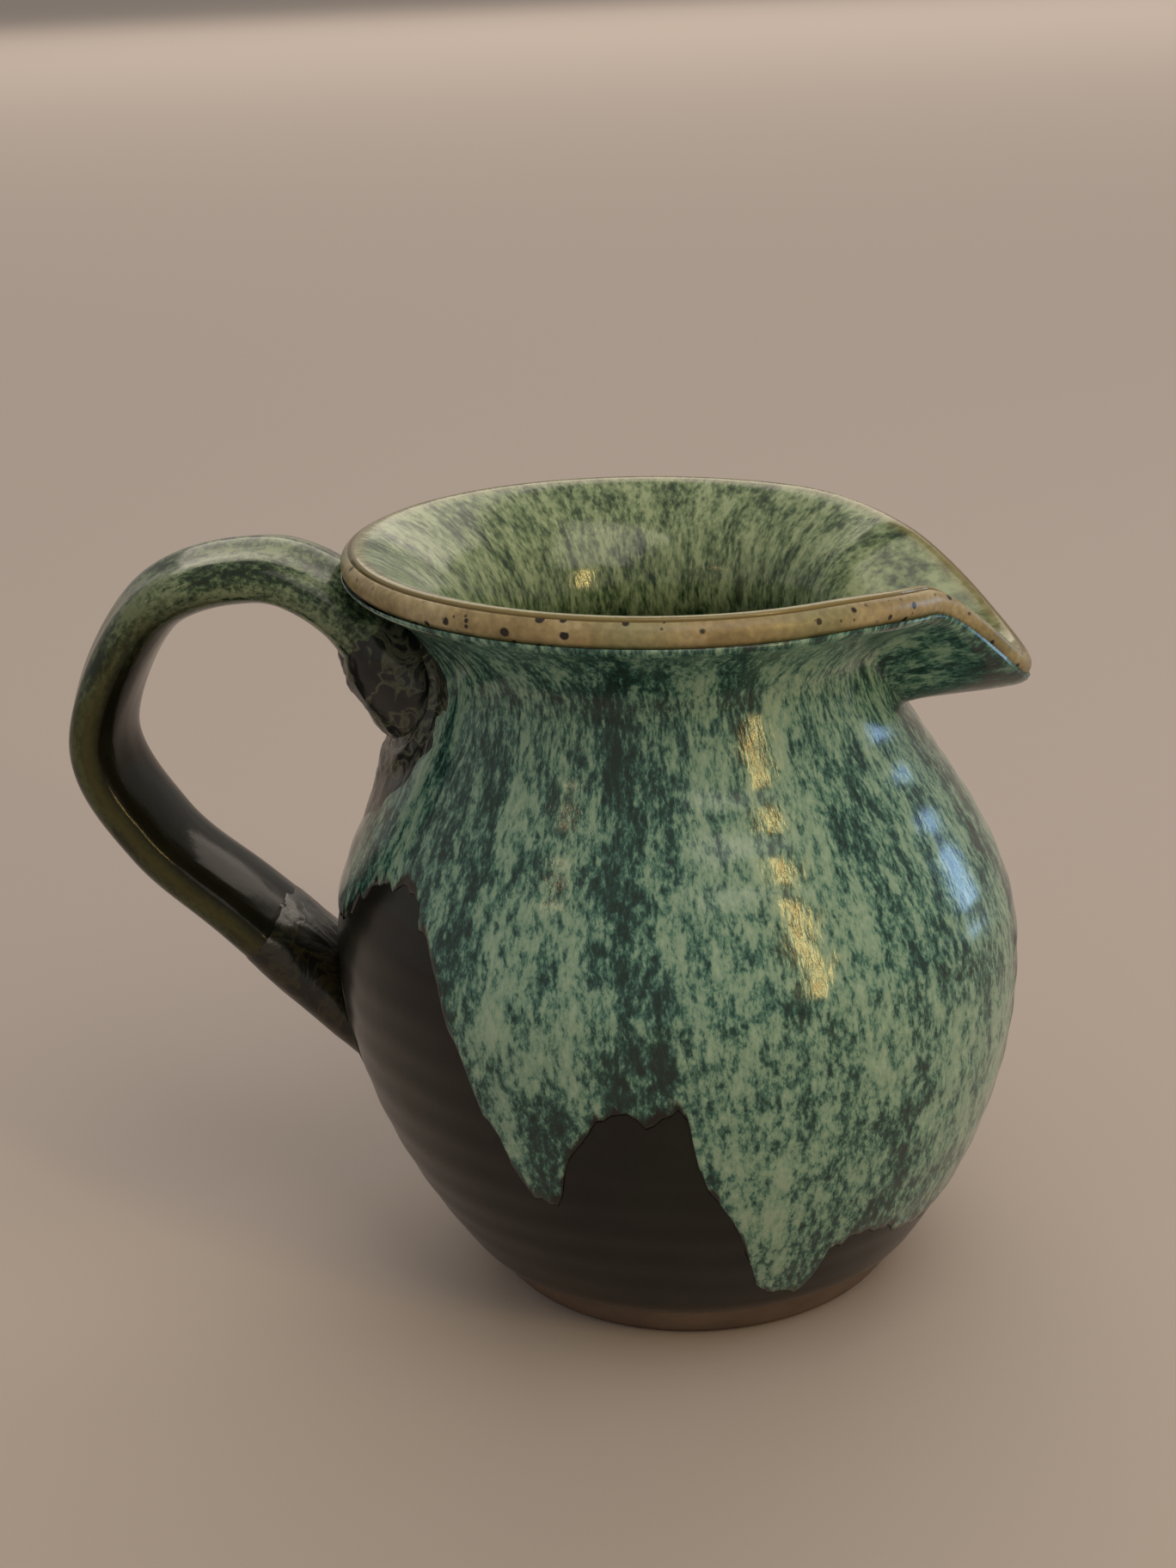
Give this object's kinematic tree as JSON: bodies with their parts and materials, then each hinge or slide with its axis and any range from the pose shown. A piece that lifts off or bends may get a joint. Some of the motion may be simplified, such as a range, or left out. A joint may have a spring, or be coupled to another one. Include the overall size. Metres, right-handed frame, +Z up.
{
  "type": "ceramic pitcher",
  "caption": "Hand-thrown stoneware pitcher with a full round belly, flared rim, pulled pouring spout and looped strap handle, under running glazes.",
  "frame": {"origin": "centre of the foot ring on the plane that the pitcher stands on", "axes": "+Z up through the mouth, +X towards the spout (the spout turned 4 degrees off it), -X towards the handle"},
  "size_m": [0.1583, 0.114, 0.1266],
  "materials": {
    "stoneware_clay": "wheel-thrown iron-bearing stoneware, thinly glazed at the lip",
    "strap_clay": "pulled iron-bearing stoneware",
    "upper_slip": "smeared slip under thin glaze",
    "lower_slip": "smeared slip under thin glaze",
    "temmoku_glaze": "glossy brown-black iron glaze",
    "green_glaze": "glossy streaked green glaze",
    "celadon_glaze": "glossy pale green glaze with dark flecks",
    "sage_glaze": "glossy mottled sage and olive glaze"
  },
  "bodies": {
    "root": {"thrown_body": "stoneware_clay", "handle": "strap_clay", "upper_joint": "upper_slip", "lower_joint": "lower_slip", "base_glaze": "temmoku_glaze", "floating_glaze": "green_glaze", "liner_glaze": "celadon_glaze", "handle_glaze": "sage_glaze"}
  },
  "joints": []
}
